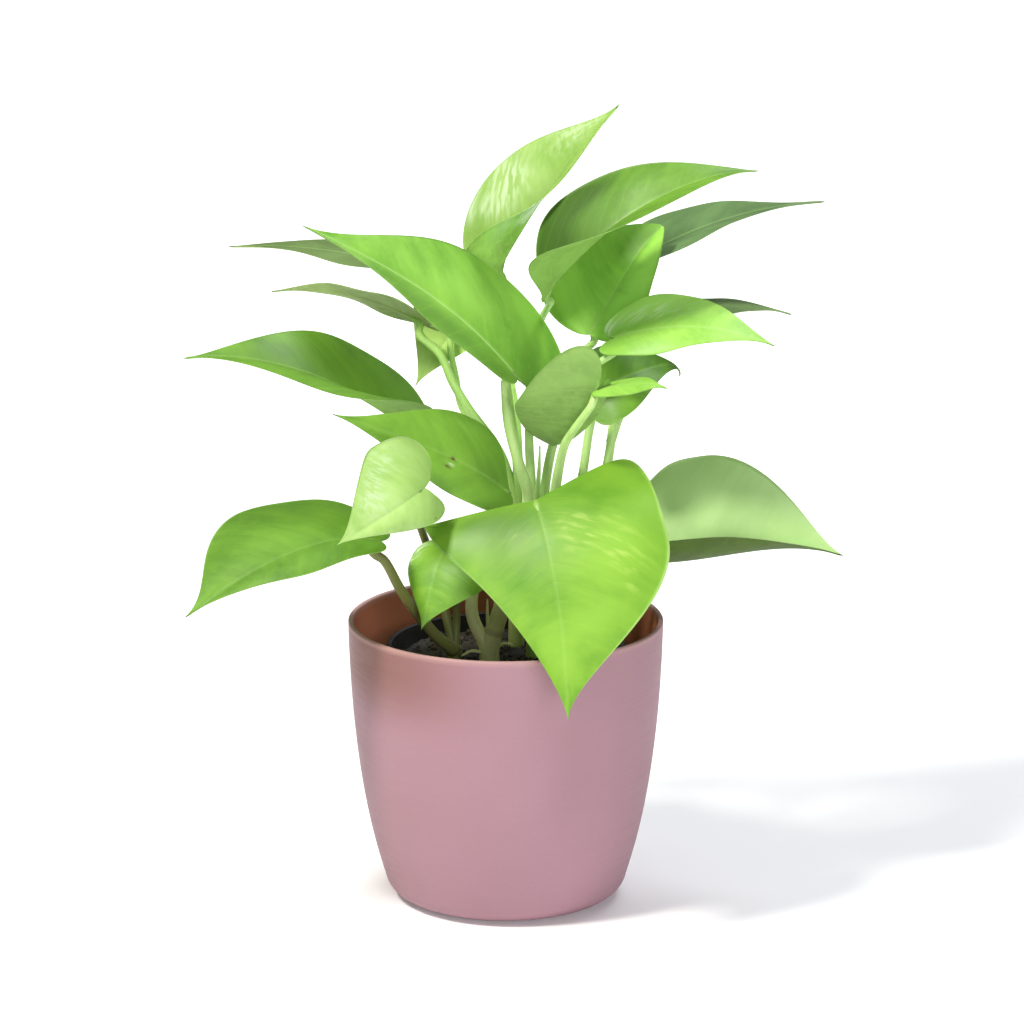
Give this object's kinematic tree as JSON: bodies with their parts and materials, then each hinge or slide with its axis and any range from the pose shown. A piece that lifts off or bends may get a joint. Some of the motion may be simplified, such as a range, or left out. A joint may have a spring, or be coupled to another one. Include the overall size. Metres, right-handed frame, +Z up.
{
  "type": "potted golden pothos",
  "caption": "Leafy golden pothos in a rounded plastic outer pot, with an inner nursery pot of dark soil; a house plant that stands on its flat base.",
  "frame": {"origin": "centre of the outer pot's flat base, on the surface the pot stands on", "axes": "+Z up along the pot's axis, which is also the longest extent; -Y the front, where the large leaf hangs over the rim; +X to the right seen from the front"},
  "size_m": [0.2511, 0.1592, 0.3057],
  "materials": {
    "outer_pot": "matt dusty pink plastic",
    "nursery_pot": "matt black plastic",
    "soil": null,
    "stems": null,
    "leaf_green": null,
    "leaf_young": null,
    "leaf_pale": null
  },
  "bodies": {
    "root": {"pot": "outer_pot", "nursery_pot": "nursery_pot", "potting_soil": "soil", "stem_left": "stems", "stem_centre": "stems", "stem_back": "stems", "stem_right": "stems", "leaf_front": "leaf_green", "leaf_front_small": "leaf_green", "leaf_young_front": "leaf_young", "leaf_left_low": "leaf_green", "leaf_left_centre": "leaf_green", "leaf_left": "leaf_green", "leaf_upper_left": "leaf_green", "leaf_back_left": "leaf_green", "leaf_back_left_low": "leaf_green", "leaf_back_hanging": "leaf_green", "leaf_top": "leaf_young", "leaf_top_right": "leaf_green", "leaf_right_upper": "leaf_green", "leaf_right_back": "leaf_pale", "leaf_right": "leaf_green", "leaf_right_far": "leaf_green", "leaf_centre_back": "leaf_green", "leaf_centre": "leaf_green", "leaf_right_low": "leaf_pale"}
  },
  "joints": []
}
